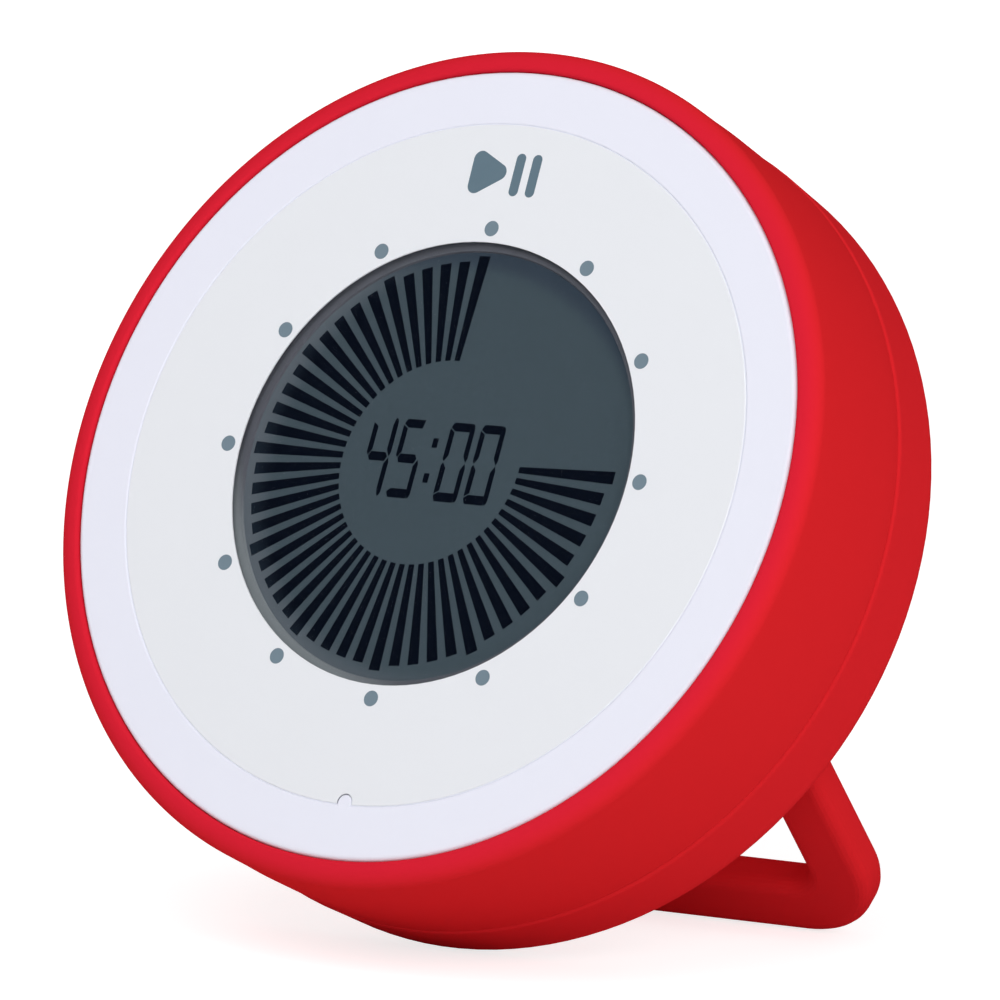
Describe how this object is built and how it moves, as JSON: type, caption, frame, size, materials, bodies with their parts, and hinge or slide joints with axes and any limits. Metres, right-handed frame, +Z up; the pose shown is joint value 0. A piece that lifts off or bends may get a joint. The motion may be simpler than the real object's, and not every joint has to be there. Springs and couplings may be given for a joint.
{
  "type": "visual countdown timer",
  "caption": "Round countdown timer with a twist ring, a round display of bars in a white press-to-start face, a magnetic back and a fold-out stand.",
  "frame": {"origin": "middle of the footprint's bounding box, on the surface that the timer stands on", "axes": "+X to the right and -Y towards the viewer of the face, +Z up; the face leans back 25.5 degrees"},
  "size_m": [0.0868, 0.0592, 0.0876],
  "materials": {
    "sleeve_red": "satin red moulding of the twist ring",
    "shell_red": "satin red moulding of the rear shell, door and stand",
    "bezel_white": "smooth cool-white moulding",
    "overlay_white": "printed film behind a clear face",
    "lens_clear": "clear acrylic",
    "core_grey": "dark moulding of the ring's core and gear",
    "chassis_grey": "light grey moulding",
    "gear_white": "natural acetal",
    "lcd_film": "polarising film",
    "lcd_glass": "thin display glass",
    "lcd_reflector": "grey reflector film",
    "frame_black": "black moulding",
    "zebra_rubber": "striped contact rubber",
    "board_green": "green solder mask over laminate",
    "resin_black": "black resin and moulded chips",
    "parts_tin": "tinned small parts",
    "screw_steel": "zinc-plated screws",
    "axle_steel": "polished steel pin",
    "contact_steel": "nickel-plated contacts",
    "magnet_nickel": "nickel-plated magnets",
    "brass_disc": "brass sounder disc",
    "cell_sleeve": "plain sleeve of the cells",
    "slider_white": "white slider knob",
    "lead_red": "red insulated leads"
  },
  "bodies": {
    "case": {"chassis": "chassis_grey", "rear_shell": "shell_red", "battery_door": "shell_red", "door_screw": "screw_steel", "case_screws": "screw_steel", "magnets": "magnet_nickel", "front_polariser": "lcd_film", "front_glass": "lcd_glass", "rear_glass": "lcd_glass", "rear_reflector": "lcd_reflector", "lcd_frame": "frame_black", "zebra_strip": "zebra_rubber", "main_board": "board_green", "board_screws": "screw_steel", "controller": "resin_black", "board_parts": "parts_tin", "hall_sensor": "resin_black", "tact_switch": "frame_black", "piezo_sounder": "brass_disc", "pinion_axle": "axle_steel", "axle_clip": "axle_steel", "battery_upper": "cell_sleeve", "battery_lower": "cell_sleeve", "spring_contacts": "contact_steel", "plate_contacts": "contact_steel", "leads": "lead_red", "volume_board": "board_green", "volume_switch": "parts_tin"},
    "twist_ring": {"grip_sleeve": "sleeve_red", "ring_core": "core_grey"},
    "face": {"bezel_plate": "bezel_white", "face_overlay": "overlay_white", "lens": "lens_clear"},
    "plunger": {"tact_plunger": "slider_white"},
    "encoder": {"encoder_pinion": "gear_white", "sensor_magnet": "magnet_nickel"},
    "slider": {"volume_slider": "slider_white"},
    "stand": {"stand": "shell_red"}
  },
  "joints": [
    {"name": "ring_twist", "type": "hinge", "parent": "case", "child": "twist_ring", "pos_m": [0, -0.0041, 0.04544], "axis": [0, -0.9026, 0.4305], "continuous": true},
    {"name": "encoder_turn", "type": "hinge", "parent": "case", "child": "encoder", "pos_m": [-0.0336, 0.00041, 0.04329], "axis": [0, -0.9026, 0.4305], "continuous": true},
    {"name": "face_press", "type": "hinge", "parent": "case", "child": "face", "pos_m": [0, -0.02059, 0.01829], "axis": [-1, 0, 0], "range_deg": [0, 0.2379], "stiffness_Nm_per_rad": 15, "springref_deg": -0.11},
    {"name": "switch_plunger", "type": "slide", "parent": "case", "child": "plunger", "axis": [0, 0.9026, -0.4305], "range_m": [0, 0.00026]},
    {"name": "volume_slide", "type": "slide", "parent": "case", "child": "slider", "axis": [1, 0, 0], "range_m": [-0.002, 0.002]},
    {"name": "stand_fold", "type": "hinge", "parent": "case", "child": "stand", "pos_m": [0, 0.00304, 0.02441], "axis": [1, 0, 0], "range_deg": [0, 115.1]}
  ],
  "couplings": [
    {"joint": "encoder_turn", "follows": "ring_twist", "ratio": 8},
    {"joint": "switch_plunger", "follows": "face_press", "m_per_rad": 0.0602}
  ]
}
